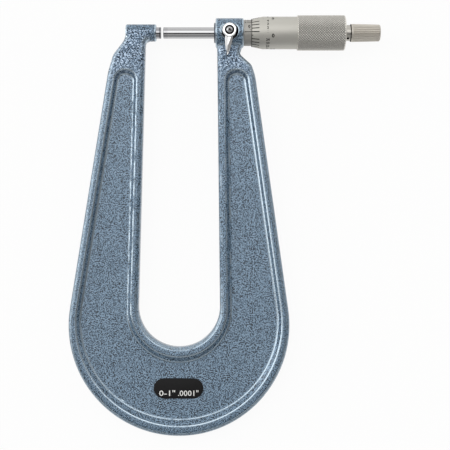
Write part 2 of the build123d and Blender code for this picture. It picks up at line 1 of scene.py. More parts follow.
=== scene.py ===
import bmesh
import bpy
from math import atan2, cos, pi, radians, sin
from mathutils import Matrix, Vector

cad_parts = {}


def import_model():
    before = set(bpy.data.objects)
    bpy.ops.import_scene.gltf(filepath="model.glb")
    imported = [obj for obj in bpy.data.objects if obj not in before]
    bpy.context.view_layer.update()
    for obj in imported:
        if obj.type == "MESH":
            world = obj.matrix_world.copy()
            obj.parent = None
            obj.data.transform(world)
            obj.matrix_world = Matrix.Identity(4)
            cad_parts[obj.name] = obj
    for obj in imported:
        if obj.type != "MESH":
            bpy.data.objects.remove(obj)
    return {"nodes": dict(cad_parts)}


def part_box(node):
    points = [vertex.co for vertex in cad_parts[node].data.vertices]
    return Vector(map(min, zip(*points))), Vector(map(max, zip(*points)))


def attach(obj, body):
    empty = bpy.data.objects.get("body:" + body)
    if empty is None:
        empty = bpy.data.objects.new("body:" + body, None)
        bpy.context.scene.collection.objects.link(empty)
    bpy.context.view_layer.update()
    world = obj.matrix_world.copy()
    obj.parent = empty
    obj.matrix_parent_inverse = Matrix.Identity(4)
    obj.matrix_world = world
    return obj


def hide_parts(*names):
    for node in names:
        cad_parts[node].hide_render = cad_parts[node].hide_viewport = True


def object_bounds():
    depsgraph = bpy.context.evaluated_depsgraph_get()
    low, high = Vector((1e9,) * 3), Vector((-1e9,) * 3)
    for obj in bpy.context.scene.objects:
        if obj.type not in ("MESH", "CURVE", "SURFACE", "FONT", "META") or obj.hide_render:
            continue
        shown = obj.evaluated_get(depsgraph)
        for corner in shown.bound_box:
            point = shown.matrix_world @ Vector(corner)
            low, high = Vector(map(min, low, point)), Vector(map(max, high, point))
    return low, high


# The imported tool. Sizes are written in millimetres and turned to metres where they are used.
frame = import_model()
cad_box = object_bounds()
scene = bpy.context.scene
scene.view_settings.view_transform = "Standard"
MM = 0.001


# Camera straight above the tool. One of the picture's 450 pixels is 0.5625 mm wide at the height
# of the spindle, and the middle of the picture lies a little to the right of the throat.
camera_height = 534 * MM
picture_width = 450 * 0.5625 * MM
picture_middle = Vector((35.9, -108.0)) * MM
camera_data = bpy.data.cameras.new("camera")
camera_data.sensor_width = 36
camera_data.lens = camera_data.sensor_width * camera_height / picture_width
camera = bpy.data.objects.new("camera", camera_data)
camera.location = (*picture_middle, camera_height)
scene.collection.objects.link(camera)
scene.camera = camera


# Studio light: a wide white diffuser over the tool, brightest a little past the head, a narrow
# bright strip low on the left, and grey all round. Ground steel mirrors the gap in front of the
# diffuser as a black line. Together they light a level surface about as white paper in daylight.
def add(tree, kind, inputs=None, **settings):
    """Adds one node. Its inputs are values, or the sockets that they are linked to."""
    node = tree.nodes.new(kind)
    for name, value in settings.items():
        setattr(node, name, value)
    for name, value in (inputs or {}).items():
        if isinstance(value, bpy.types.NodeSocket):
            tree.links.new(value, node.inputs[name])
        else:
            node.inputs[name].default_value = value
    return node


def band(tree, value, start, end, blur):
    """One between start and end, nought outside, and blurred where it changes."""
    rise = add(tree, "ShaderNodeMapRange", {
        "Value": value, "From Min": start - blur, "From Max": start + blur,
    }, interpolation_type="SMOOTHSTEP")
    fall = add(tree, "ShaderNodeMapRange", {
        "Value": value, "From Min": end - blur, "From Max": end + blur, "To Min": 1, "To Max": 0,
    }, interpolation_type="SMOOTHSTEP")
    return add(tree, "ShaderNodeMath", {
        0: rise.outputs[0], 1: fall.outputs[0]}, operation="MULTIPLY").outputs[0]


world = bpy.data.worlds.new("studio")
world.use_nodes = True
scene.world = world
sky = world.node_tree
sky.nodes.clear()
toward = add(sky, "ShaderNodeSeparateXYZ", {
    0: add(sky, "ShaderNodeTexCoord").outputs["Generated"]}).outputs


def lean(side):
    """Angle of a direction from straight up, towards +X or towards +Y."""
    return add(sky, "ShaderNodeMath", {
        0: toward[side], 1: toward["Z"]}, operation="ARCTAN2").outputs[0]


# Each panel has a strength, and the angles in degrees that it lies between.
to_head, to_right = lean("Y"), lean("X")
soft_edge = radians(1)
panels = [
    (1.4, [(to_head, -13, 5), (to_right, -56, 9)]),
    (2.0, [(to_head, 5, 33), (to_right, -56, 24)]),
    (1.15, [(to_head, 33, 48)]),
    (0.5, [(to_head, 48, 60)]),
    (1.25, [(to_head, 60, 90)]),
    (3.8, [(to_right, -80, -66), (to_head, -40, 60)]),
    (0.6, [(to_right, -66, -56), (to_head, -16, 38)]),
    (0.35, [(to_right, 24, 90), (to_head, -16, 33)]),
    (0.8, [(to_head, -54, -37)]),
    (0.36, [(to_head, -92, -54)]),
]
light = 0.0
for strength, sides in panels:
    inside = strength
    for angle, start, end in sides:
        edge = band(sky, angle, radians(start), radians(end), soft_edge)
        inside = add(sky, "ShaderNodeMath", {0: edge, 1: inside}, operation="MULTIPLY").outputs[0]
    light = add(sky, "ShaderNodeMath", {0: inside, 1: light}).outputs[0]
glow = add(sky, "ShaderNodeBackground", {"Color": (1, 1, 1, 1), "Strength": light})
add(sky, "ShaderNodeOutputWorld", {"Surface": glow.outputs[0]})


# Floor of white card. Most of what the camera sees of it is plain white, and the rest takes the
# tool's soft shadow. Under the tool it leans a little, because the tool rests on the front of its
# knurl and on the rim of the bow, which is thinner.
def linear(colour):
    """The linear red, green, blue and alpha of a colour written as sRGB hex."""
    parts = [int(colour[at:at + 2], 16) / 255 for at in (1, 3, 5)]
    return [c / 12.92 if c < 0.04045 else ((c + 0.055) / 1.055) ** 2.4 for c in parts] + [1.0]


def new_material(name):
    """An empty material, its node tree and its output node."""
    material = bpy.data.materials.new(name)
    material.use_nodes = True
    tree = material.node_tree
    tree.nodes.clear()
    return material, tree, add(tree, "ShaderNodeOutputMaterial")


def finished(bm, name, material, smooth_below=35):
    """Turns a bmesh into an object, with smooth shading below an angle in degrees."""
    mesh = bpy.data.meshes.new(name)
    bm.to_mesh(mesh)
    bm.free()
    if material:
        mesh.materials.append(material)
    mesh.shade_smooth()
    mesh.set_sharp_from_angle(angle=radians(smooth_below))
    piece = bpy.data.objects.new(name, mesh)
    scene.collection.objects.link(piece)
    return piece


def spun(profile, axis, steps, middle=(0, 0, 0)):
    """A shape turned about an axis, from the (along, radius) corners of its outline in mm.

    The outline is closed, unless its first and last corners lie on the axis."""
    bm = bmesh.new()
    along = Vector(axis)
    out = Vector((0, 0, 1)) if along.z == 0 else Vector((1, 0, 0))
    centre = Vector(middle) * MM
    corners = [bm.verts.new(centre + (along * a + out * r) * MM) for a, r in profile]
    ends = [] if profile[0][1] == 0 else [(corners[-1], corners[0])]
    edges = [bm.edges.new(pair) for pair in [*zip(corners, corners[1:]), *ends]]
    bmesh.ops.spin(
        bm, geom=corners + edges, cent=centre, axis=along, angle=2 * pi, steps=steps, use_merge=True)
    bmesh.ops.remove_doubles(bm, verts=bm.verts, dist=0.0005 * MM)
    bmesh.ops.recalc_face_normals(bm, faces=bm.faces)
    return bm


card, tree, output = new_material("white_card")
rays = add(tree, "ShaderNodeLightPath").outputs
seen = rays["Is Camera Ray"]
for ray in ("Is Glossy Ray", "Is Transmission Ray"):
    seen = add(tree, "ShaderNodeMath", {0: seen, 1: rays[ray]}, operation="MAXIMUM").outputs[0]
whitened = add(tree, "ShaderNodeMath", {0: seen, 1: 0.93}, operation="MULTIPLY").outputs[0]
lit = add(tree, "ShaderNodeBsdfDiffuse", {"Color": linear("#f4f4f2")}).outputs[0]
white = add(tree, "ShaderNodeEmission", {"Color": linear("#ffffff"), "Strength": 1}).outputs[0]
blend = add(tree, "ShaderNodeMixShader", {0: whitened, 1: lit, 2: white})
tree.links.new(blend.outputs[0], output.inputs["Surface"])

knurl_front = Vector((76.4 * MM, 0, cad_box[0].z))
slope, slope_towards = 0.0227, Vector((-0.682, -0.732, 0))
floor_middle, floor_drop = Vector((10, -100, 0)), 12
leaning_radius, level_radius, floor_radius = 300, 600, 20000
circles = [0, 270, 330, 400, 480, level_radius, floor_radius]
bm = spun([(0, circle) for circle in circles], (0, 0, 1), 64, middle=floor_middle)
for vert in bm.verts:
    away = (vert.co.xy - floor_middle.xy * MM).length / MM
    level = min(1, max(0, (away - leaning_radius) / (level_radius - leaning_radius)))
    leaning = knurl_front.z + slope * slope_towards.dot(vert.co - knurl_front)
    vert.co.z = leaning * (1 - level) + (knurl_front.z - floor_drop * MM) * level
floor = finished(bm, "floor", card)


# Frame: one grey-iron casting in the shape of a deep U, a boss at each end and a recess in both
# faces. It is fettled, sprayed with hammered enamel and stoved, and then its bosses are bored.
# The enamel draws into dimples and worms as it dries, coarser on the heavy metal near the bosses.
def is_hollow(vert):
    """True where the surface bends inwards, as at the root of a boss."""
    beside = [edge.other_vert(vert).co for edge in vert.link_edges]
    return (sum(beside, Vector()) / len(beside) - vert.co).dot(vert.normal) > 0


def worm_share(tree, x, y):
    """One where the enamel draws into worms: on the heavy metal, but not on top of the bosses.

    Each share of it rises from nought to one between two places in mm along Y or X."""
    shares = []
    for side, start, end in ((y, -34, -15), (x, -7, -3), (y, -10, -6), (y, 0.5, 2)):
        shares.append(add(tree, "ShaderNodeMapRange", {
            "Value": side, "From Min": start * MM, "From Max": end * MM,
        }, interpolation_type="SMOOTHSTEP").outputs[0])
    heavy, past_anvil_neck, above_boss_root, crown = shares
    on_boss = add(tree, "ShaderNodeMath", {
        0: past_anvil_neck, 1: above_boss_root}, operation="MULTIPLY").outputs[0]
    smooth = add(tree, "ShaderNodeMath", {0: on_boss, 1: crown}, operation="MAXIMUM").outputs[0]
    wormy = add(tree, "ShaderNodeMath", {0: 1.0, 1: smooth}, operation="SUBTRACT").outputs[0]
    return add(tree, "ShaderNodeMath", {0: heavy, 1: wormy}, operation="MULTIPLY").outputs[0]


def spot_face(tree, place, z):
    """One on the round seat cut for the lock lever, where the lever's shadow is painted as a dark ring
    shifted towards +X and -Y.
    """
    shadow_offset, radius, lowest = Vector((0.3, -0.35, 0)) * MM, 4.7 * MM, 5.5 * MM
    middle = sum(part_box("lock_screw"), Vector()) / 2 + shadow_offset
    level = add(tree, "ShaderNodeVectorMath", {
        0: place, 1: (1, 1, 0)}, operation="MULTIPLY").outputs[0]
    away = add(tree, "ShaderNodeVectorMath", {
        0: level, 1: (middle.x, middle.y, 0)}, operation="DISTANCE").outputs["Value"]
    inside = add(tree, "ShaderNodeMath", {0: away, 1: radius}, operation="LESS_THAN").outputs[0]
    above = add(tree, "ShaderNodeMath", {0: z, 1: lowest}, operation="GREATER_THAN").outputs[0]
    return add(tree, "ShaderNodeMath", {0: inside, 1: above}, operation="MULTIPLY").outputs[0]


def hammered_enamel():
    """Enamel with flakes of aluminium in blue-grey paint, which draw into light cells.

    The cells are a fine pebble with dark pits on the thin web. On the heavy metal they are worms
    that glint. On edges and in corners the film is thin and smooth, and shows more of its flakes."""
    pebble_size, worm_size, pebble_depth, worm_depth = 0.58 * MM, 0.78 * MM, 0.05 * MM, 0.25 * MM
    pebble_tints = [(0.39, "#060c12"), (0.445, "#33475a"), (0.49, "#637d93"), (0.66, "#889fb4")]
    worm_tints = [(0.36, "#16222d"), (0.45, "#40556a"), (0.53, "#697f95"), (0.62, "#adbfd3")]
    material, tree, output = new_material("hammered_enamel")
    place = add(tree, "ShaderNodeTexCoord").outputs["Object"]
    x, y, z = add(tree, "ShaderNodeSeparateXYZ", {0: place}).outputs
    pebble = add(tree, "ShaderNodeTexNoise", {
        "Vector": place, "Scale": 1 / pebble_size, "Detail": 1.0}).outputs[0]
    worms = add(tree, "ShaderNodeTexNoise", {
        "Vector": place, "Scale": 1 / worm_size, "Detail": 0.5, "Distortion": 0.9}).outputs[0]
    coarse = worm_share(tree, x, y)
    edge = add(tree, "ShaderNodeAttribute", attribute_name="edge").outputs["Fac"]

    tints = []
    for cells, stops in ((pebble, pebble_tints), (worms, worm_tints)):
        tint = add(tree, "ShaderNodeValToRGB", {0: cells})
        ramp = tint.color_ramp.elements
        for at, colour in stops[2:]:
            ramp.new(at)
        for stop, (at, colour) in zip(ramp, stops):
            stop.position = at
            stop.color = linear(colour)
        tints.append(tint.outputs[0])
    colour = add(tree, "ShaderNodeMix", {
        0: coarse, 6: tints[0], 7: tints[1]}, data_type="RGBA").outputs[2]
    colour = add(tree, "ShaderNodeMix", {
        0: edge, 6: colour, 7: linear("#b4c3ce")}, data_type="RGBA").outputs[2]
    # Painted shadow round the lock lever's hub: the seat turns near black there.
    colour = add(tree, "ShaderNodeMix", {
        0: spot_face(tree, place, z), 6: colour, 7: linear("#0e1215")}, data_type="RGBA").outputs[2]
    flakes = add(tree, "ShaderNodeMapRange", {
        "Value": coarse, "To Min": 0.2, "To Max": 0.5}).outputs[0]
    flakes = add(tree, "ShaderNodeMath", {
        0: edge, 1: 0.8, 2: flakes}, operation="MULTIPLY_ADD", use_clamp=True).outputs[0]

    rough_skin = add(tree, "ShaderNodeMath", {
        0: edge, 1: -0.55, 2: 0.6}, operation="MULTIPLY_ADD").outputs[0]
    worm_bump = add(tree, "ShaderNodeBump", {
        "Height": worms, "Strength": coarse, "Distance": worm_depth}).outputs[0]
    pebble_bump = add(tree, "ShaderNodeBump", {
        "Height": pebble, "Strength": rough_skin, "Distance": pebble_depth,
        "Normal": worm_bump}).outputs[0]
    shader = add(tree, "ShaderNodeBsdfPrincipled", {
        "Base Color": colour, "Metallic": flakes, "Roughness": 0.2, "Specular IOR Level": 0.6,
        "Normal": pebble_bump})
    tree.links.new(shader.outputs[0], output.inputs["Surface"])
    return material


def smoothed(bm, verts):
    """Moves these vertices half way to the middle of their neighbours."""
    bmesh.ops.smooth_vert(
        bm, verts=verts, factor=0.5, use_axis_x=True, use_axis_y=True, use_axis_z=True)


# The film starts to thin where the surface bends by flat_bend, which is one over a radius in mm,
# and is at its thinnest from edge_bend.
voxel, casting_triangles, skin_passes, root_passes = 0.35 * MM, 195000, 3, 26
flat_bend, edge_bend = 0.24, 0.62
bm = bmesh.new()
bm.from_mesh(frame["nodes"]["frame"].data)
bmesh.ops.remove_doubles(bm, verts=bm.verts, dist=0.002 * MM)
casting = finished(bm, "frame_casting", hammered_enamel(), smooth_below=60)
remesh = casting.modifiers.new("one skin", "REMESH")
remesh.mode = "VOXEL"
remesh.voxel_size = voxel


def baked(piece):
    """Makes what the piece's modifiers give its own mesh."""
    shape = piece.evaluated_get(bpy.context.evaluated_depsgraph_get())
    piece.data = bpy.data.meshes.new_from_object(shape)
    piece.modifiers.clear()


baked(casting)
bm = bmesh.new()
bm.from_mesh(casting.data)
for _ in range(skin_passes):
    smoothed(bm, bm.verts)
roots = []
for left, right, below, above in ((-21, -1, -11, -1), (29, 48, -13, -5)):
    roots += [vert for vert in bm.verts
              if left * MM < vert.co.x < right * MM and below * MM < vert.co.y < above * MM]
for _ in range(root_passes):
    bm.normal_update()
    smoothed(bm, [vert for vert in roots if is_hollow(vert)])
bm.to_mesh(casting.data)
bm.free()
casting.data.calc_loop_triangles()
thin = casting.modifiers.new("fewer faces", "DECIMATE")
thin.ratio = casting_triangles / len(casting.data.loop_triangles)
baked(casting)
bm = bmesh.new()
bm.from_mesh(casting.data)
bm.normal_update()
bends = []
for vert in bm.verts:
    sides = [other.other_vert(vert).co - vert.co for other in vert.link_edges]
    bends.append(max(abs(side.dot(vert.normal)) * 2 / side.length_squared for side in sides) * MM)
bm.verts.ensure_lookup_table()
edges = []
for vert in bm.verts:
    around = [bends[edge.other_vert(vert).index] for edge in vert.link_edges]
    bend = (bends[vert.index] + sum(around) / len(around)) / 2
    edges.append(min(1, max(0, (bend - flat_bend) / (edge_bend - flat_bend))))
bm.free()
casting.data.attributes.new("edge", "FLOAT", "POINT").data.foreach_set("value", edges)
casting.data.shade_smooth()
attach(casting, "frame")
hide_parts("frame")


# Name plate: thin aluminium with round ends, anodised black and stuck to the web. The range and
# the graduation are left bare metal in it, and the rest of it is plain.
def lettering(words, height, width=None, thickness=0.06, weight=0.0):
    """Solid letters as a bmesh, centred on the origin and readable from above. Sizes in mm."""
    curve = bpy.data.curves.new("letters", "FONT")
    curve.body = words
    curve.offset = weight
    curve.extrude = thickness / 2
    curve.resolution_u = 2
    text = bpy.data.objects.new("letters", curve)
    scene.collection.objects.link(text)
    mesh = bpy.data.meshes.new_from_object(text.evaluated_get(bpy.context.evaluated_depsgraph_get()))
    bpy.data.objects.remove(text)
    bm = bmesh.new()
    bm.from_mesh(mesh)
    bmesh.ops.remove_doubles(bm, verts=bm.verts, dist=0.0001)
    lowest = [min(vert.co[axis] for vert in bm.verts) for axis in (0, 1)]
    highest = [max(vert.co[axis] for vert in bm.verts) for axis in (0, 1)]
    middle = Vector(((lowest[0] + highest[0]) / 2, (lowest[1] + highest[1]) / 2, 0))
    tall = height / (highest[1] - lowest[1])
    wide = tall if width is None else width / (highest[0] - lowest[0])
    bmesh.ops.translate(bm, verts=bm.verts, vec=-middle)
    bmesh.ops.scale(bm, verts=bm.verts, vec=(wide, tall, 1))
    return bm


def coated(name, colour, roughness, gloss=0.35, grain=0.3):
    """A finish without bare metal, such as anodising or filling. Its grain, in mm, dulls it."""
    material, tree, output = new_material(name)
    place = add(tree, "ShaderNodeTexCoord").outputs["Object"]
    specks = add(tree, "ShaderNodeTexNoise", {"Vector": place, "Scale": 1 / (grain * MM)}).outputs[0]
    rough = add(tree, "ShaderNodeMapRange", {
        "Value": specks, "To Min": roughness - 0.1, "To Max": roughness + 0.1}).outputs[0]
    bump = add(tree, "ShaderNodeBump", {
        "Height": specks, "Strength": 0.3, "Distance": 0.02 * MM}).outputs[0]
    shader = add(tree, "ShaderNodeBsdfPrincipled", {
        "Base Color": linear(colour), "Roughness": rough, "Specular IOR Level": gloss, "Normal": bump})
    tree.links.new(shader.outputs[0], output.inputs["Surface"])
    return material


def joined(parts):
    """One bmesh that holds all the given ones."""
    whole = bmesh.new()
    for part in parts:
        mesh = bpy.data.meshes.new("part")
        part.to_mesh(mesh)
        part.free()
        whole.from_mesh(mesh)
        bpy.data.meshes.remove(mesh)
    return whole


plate_low, plate_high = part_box("name_plate")
plate_middle = (plate_low + plate_high) / 2
plate_half = (plate_high - plate_low) / 2
plate_rounding = 0.2 * MM
bm = bmesh.new()
disc = bmesh.ops.create_circle(bm, segments=64, radius=plate_half.y, cap_ends=True)["verts"]
for vert in disc:
    vert.co.x += (plate_half.x - plate_half.y) * (1 if vert.co.x > 0 else -1)
raised = bmesh.ops.extrude_face_region(bm, geom=bm.faces[:])["geom"]
raised = [item for item in raised if isinstance(item, bmesh.types.BMVert)]
bmesh.ops.translate(bm, verts=raised, vec=(0, 0, plate_half.z * 2))
bmesh.ops.recalc_face_normals(bm, faces=bm.faces)
rim = [edge for edge in bm.edges if min(vert.co.z for vert in edge.verts) > plate_half.z]
bmesh.ops.bevel(
    bm, geom=rim, offset=plate_rounding, segments=3, profile=0.5, affect="EDGES", material=-1)
bmesh.ops.translate(bm, verts=bm.verts, vec=(plate_middle.x, plate_middle.y, plate_low.z))
# Black anodising: a deep even black with a dull satin shine.
plate = finished(bm, "plate", coated("black_anodising", "#121112", 0.55, gloss=0.2))
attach(plate, "frame")
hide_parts("name_plate")

words, letter_height = [], 3.2
line_y, letter_z = -202.1 * MM, plate_high.z - 0.015 * MM
for text, x, width in (('0-1"', 3.5, 9.0), ('.0001"', 15.3, 11.5)):
    letters = lettering(text, letter_height, width, weight=0.01)
    bmesh.ops.scale(letters, verts=letters.verts, vec=(MM, MM, MM))
    bmesh.ops.translate(letters, verts=letters.verts, vec=(x * MM, line_y, letter_z))
    words.append(letters)
# Letters left bare in the anodising: matt silver, without a mirror's darks.
plate_words = finished(joined(words), "plate_range", coated("bare_letters", "#e4e4e0", 0.5))
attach(plate_words, "frame")


# Anvil, barrel and spindle: turned from tool steel, hardened and ground. Carbide discs are brazed
# on as measuring faces. The barrel is pressed into its boss, and the spindle's feed thread, 40 to
# the inch, runs in it.
def metal(name, colour, roughness, marks=(0.3, 0.3, 0.3), depth=0.0, dark=None):
    """Bare or plated metal. Its tool marks have a size in mm along each axis, and a depth in mm.

    The socket given as dark says where its colour is painted black instead, as shade, from 0 to 1."""
    material, tree, output = new_material(name)
    place = add(tree, "ShaderNodeTexCoord").outputs["Object"]
    scale = [1 / (size * MM) for size in marks]
    turned = add(tree, "ShaderNodeMapping", {"Vector": place, "Scale": scale}).outputs[0]
    noise = add(tree, "ShaderNodeTexNoise", {"Vector": turned, "Scale": 1.0, "Detail": 1.0}).outputs[0]
    rough = add(tree, "ShaderNodeMapRange", {
        "Value": noise, "To Min": roughness * 0.8, "To Max": roughness * 1.2}).outputs[0]
    shader = add(tree, "ShaderNodeBsdfPrincipled", {
        "Base Color": linear(colour), "Metallic": 1.0, "Roughness": rough})
    if depth:
        bump = add(tree, "ShaderNodeBump", {"Height": noise, "Strength": 1.0, "Distance": depth * MM})
        tree.links.new(bump.outputs[0], shader.inputs["Normal"])
    if dark:
        shaded_colour = add(tree, "ShaderNodeMix", {
            0: dark(tree, place), 6: linear(colour), 7: linear("#0a0a0a")}, data_type="RGBA").outputs[2]
        tree.links.new(shaded_colour, shader.inputs["Base Color"])
    tree.links.new(shader.outputs[0], output.inputs["Surface"])
    return material


def dress(material, *nodes):
    """Gives the solids of these nodes their finish."""
    for name in nodes:
        for slot in frame["nodes"][name].material_slots:
            slot.material = material


# Ground steel mirrors the studio as bands of white, grey and black, a little blurred along them.
dress(metal("ground_steel", "#b6b6b7", 0.07, marks=(0.15, 2, 2)), "spindle")
dress(metal("anvil_steel", "#a3a3a6", 0.1, marks=(0.15, 2, 2)), "anvil")
# Steel darkened with heat and oil: a dull blue-grey. The barrel's front ring shows it, about as
# dark as the enamel beside it.
dress(metal("darkened_steel", "#555b65", 0.3), "spindle_barrel", "adjusting_nut")
# Carbide: a mirror like the steel but greyer. The anvil's disc is the darker one of the two.
dress(metal("lapped_carbide", "#acacae", 0.07), "spindle_tip")
dress(metal("carbide", "#6c6c70", 0.12), "anvil_tip")


# Graduated sleeve: a steel tube, satin chromed, with the inch scale and the vernier engraved and
# filled black. The scale stands on one index line. Each figure is a tenth of an inch, and each
# mark between them 0.025 in. The eleven vernier lines above it split a division in ten.
def wrapped(bm, radius_at, turn):
    """Lays flat shapes in mm, x along the spindle and y round it, on a turned surface.

    The turn in degrees says where y = 0 comes to lie, from the top over towards -Y."""
    for vert in bm.verts:
        x, across, height = vert.co
        radius = radius_at(x)
        angle = radians(turn) - across / radius
        reach = radius + height
        vert.co = Vector((x, -reach * sin(angle), reach * cos(angle))) * MM
    return bm


# The filling's thickness, and how far under the surface its middle lies.
filling, sunk = 0.06, 0.02


def mark(x0, x1, y0, y1):
    """One filled line: a thin slab that shows a hair above the metal. Sizes in mm."""
    bm = bmesh.new()
    bmesh.ops.create_cube(bm, size=1)
    bmesh.ops.scale(bm, verts=bm.verts, vec=(x1 - x0, y1 - y0, filling))
    bmesh.ops.translate(bm, verts=bm.verts, vec=((x0 + x1) / 2, (y0 + y1) / 2, -sunk))
    return bm


def engraved(number, height, x, y=0.0, weight=0.03):
    """One filled figure of a scale, in the middle of its place in mm."""
    figure = lettering(str(number), height, thickness=filling, weight=weight)
    bmesh.ops.translate(figure, verts=figure.verts, vec=(x, y, -sunk))
    return figure


inch = 25.4
sleeve_low, sleeve_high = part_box("graduated_sleeve")
sleeve_radius = sleeve_high.y / MM
sleeve_start = sleeve_low.x / MM
zero_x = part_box("thimble")[0].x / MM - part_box("spindle_tip")[0].x / MM
scale_start, scale_end = sleeve_start + 0.4, zero_x + inch + 1
index_turn, half_line = 6, 0.17
inch_parts, parts_in_tenth = 40, 4
tenth_line, part_line, tenth_figure, figure_row = 1.9, 1.2, 1.9, 3.1
vernier_lines, vernier_gap, vernier_step = 11, 49, 12.96
vernier_start, vernier_figure, vernier_figure_x = sleeve_start + 1.7, 1.2, sleeve_start + 0.95


def on_sleeve(x):
    """The sleeve's radius, the same all along it."""
    return sleeve_radius


index_line = mark(scale_start, scale_end, -half_line, half_line)
sleeve_marks = [wrapped(index_line, on_sleeve, index_turn)]
for number in range(inch_parts + 1):
    x = zero_x + number * inch / inch_parts
    at_tenth = number % parts_in_tenth == 0
    line = mark(x - half_line, x + half_line, 0, tenth_line if at_tenth else part_line)
    sleeve_marks.append(wrapped(line, on_sleeve, index_turn))
    if at_tenth:
        figure = engraved(number // parts_in_tenth % 10, tenth_figure, x, figure_row)
        sleeve_marks.append(wrapped(figure, on_sleeve, index_turn))
for number in range(vernier_lines):
    turn = index_turn - vernier_gap - number * vernier_step
    line = mark(vernier_start, scale_end, -half_line, half_line)
    sleeve_marks.append(wrapped(line, on_sleeve, turn))
    figure = engraved(number % 10, vernier_figure, vernier_figure_x, weight=0.02)
    sleeve_marks.append(wrapped(figure, on_sleeve, turn))
# Black wax filling: flat black, with no shine. Satin chrome: a soft warm grey without reflections,
# and painted darker on the sleeve, as the thimble's shade on it.
filled = coated("black_filling", "#080807", 0.7, gloss=0.1)
dress(metal("sleeve_chrome_shaded", "#b1afaa", 0.6, marks=(0.2, 0.2, 0.2), depth=0.003), "graduated_sleeve")
sleeve_lines = finished(joined(sleeve_marks), "sleeve_graduations", filled)
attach(sleeve_lines, "graduated_sleeve")


# Thimble: turned steel, satin chromed, with 25 divisions round its bevelled front edge. One turn
# is 0.025 in. Its grip is rolled with a fine diamond knurl, and inside it is bored for the sleeve.
thimble_low, thimble_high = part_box("thimble")
thimble_start, thimble_end = thimble_low.x / MM, thimble_high.x / MM
grip_radius = thimble_high.z / MM
cavity_radius = sleeve_radius + 0.1
edge_wall, thimble_wall = 0.4, 1.7
edge_radius, thimble_radius = cavity_radius + edge_wall, cavity_radius + thimble_wall
cone_length, plain_length = 6.3, 19.4
cone_end = thimble_start + cone_length
knurl_start = cone_end + plain_length
knurl_rows, knurl_round, knurl_depth = 36, 86, 0.30
front_chamfer, rear_chamfer, front_edge_shade = 0.25, 0.9, 0.25


def in_front_of(end):
    """A mask that is one on a piece in front of a place along X in mm, where its edge is painted black
    as shade.
    """
    def before(tree, place):
        x = add(tree, "ShaderNodeSeparateXYZ", {0: place}).outputs["X"]
        return add(tree, "ShaderNodeMath", {0: x, 1: end * MM}, operation="LESS_THAN").outputs[0]
    return before


def groove_depth(tree, place):
    """The bottoms of the knurl's grooves, painted darker as the shade in them."""
    darkness = 0.62
    depth = add(tree, "ShaderNodeAttribute", attribute_name="groove").outputs["Fac"]
    return add(tree, "ShaderNodeMath", {0: depth, 1: darkness}, operation="MULTIPLY").outputs[0]


# The thimble's thin front edge is painted black, as shade in its gap to the sleeve. The knurl is plated
# with the rest, and its points shine a little more than the plain part.
satin_chrome = metal(
    "satin_chrome", "#c3c1ba", 0.58, marks=(0.2, 0.2, 0.2), depth=0.003,
    dark=in_front_of(thimble_start + front_edge_shade))
# The knurl's groove bottoms are painted darker, as shade.
knurled_chrome = metal(
    "knurled_chrome", "#e4e1da", 0.5, marks=(0.2, 0.2, 0.2), depth=0.003, dark=groove_depth)
# The spindle's taper sits in the seat, and the ratchet stem's bolt passes through the hole behind
# it. Both are counted from the thimble's end.
seat_start, seat_end, seat_large, seat_small, bolt_hole = -15.3, -5.3, 4.2, 3.4, 1.8
row_start = knurl_start + front_chamfer
row_step = (thimble_end - rear_chamfer - row_start) / knurl_rows
rows = [(row_start + number * row_step, grip_radius) for number in range(knurl_rows + 1)]
bm = spun([
    (thimble_start, cavity_radius),
    (thimble_start, edge_radius),
    (cone_end, thimble_radius),
    (knurl_start, thimble_radius),
    (knurl_start, grip_radius - front_chamfer),
    *rows,
    (thimble_end - rear_chamfer * 0.35, grip_radius - rear_chamfer * 0.2),
    (thimble_end, grip_radius - rear_chamfer * 0.8),
    (thimble_end, bolt_hole),
    (thimble_end + seat_end, bolt_hole),
    (thimble_end + seat_end, seat_small),
    (thimble_end + seat_start, seat_large),
    (thimble_end + seat_start, cavity_radius),
], (1, 0, 0), knurl_round)
low = []
bm.verts.index_update()
for vert in bm.verts:
    row = (vert.co.x / MM - row_start) / row_step
    around = atan2(vert.co.y, vert.co.z) / (2 * pi) * knurl_round
    on_grip = -0.1 < row < knurl_rows + 0.1 and vert.co.yz.length > (grip_radius - 0.05) * MM
    if on_grip and (round(row) + round(around)) % 2:
        vert.co.yz *= 1 - knurl_depth / grip_radius
        low.append(vert)
bmesh.ops.connect_verts(bm, verts=low)
grooved = {vert.index for vert in low}
groove = [float(vert.index in grooved) for vert in bm.verts]
for face in bm.faces:
    face.material_index = int(face.calc_center_median().x > knurl_start * MM)
thimble = finished(bm, "thimble_shell", satin_chrome, smooth_below=20)
thimble.data.materials.append(knurled_chrome)
thimble.data.attributes.new("groove", "FLOAT", "POINT").data.foreach_set("value", groove)
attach(thimble, "thimble")
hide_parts("thimble")


def on_thimble(x):
    """The thimble's radius: the bevelled edge, then the plain barrel."""
    share = min(1, max(0, (x - thimble_start) / cone_length))
    return edge_radius + share * (thimble_radius - edge_radius)


divisions, half_division, long_end, short_end = 25, 0.25, cone_end + 0.4, thimble_start + 4.3
long_figure, long_figure_x, short_figure, short_figure_x = 2.3, 62.6, 1.5, 59.7
thimble_marks = []
for number in range(divisions):
    turn = index_turn - (number - 1) * 360 / divisions
    if number % 5 == 0:
        end = long_end
        figure = engraved(number, long_figure, long_figure_x)
    else:
        end = short_end
        figure = engraved(number, short_figure, short_figure_x)
    line = mark(thimble_start, end, -half_division, half_division)
    thimble_marks.append(wrapped(line, on_thimble, turn))
    thimble_marks.append(wrapped(figure, on_thimble, turn))
thimble_lines = finished(joined(thimble_marks), "thimble_graduations", filled)
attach(thimble_lines, "thimble")


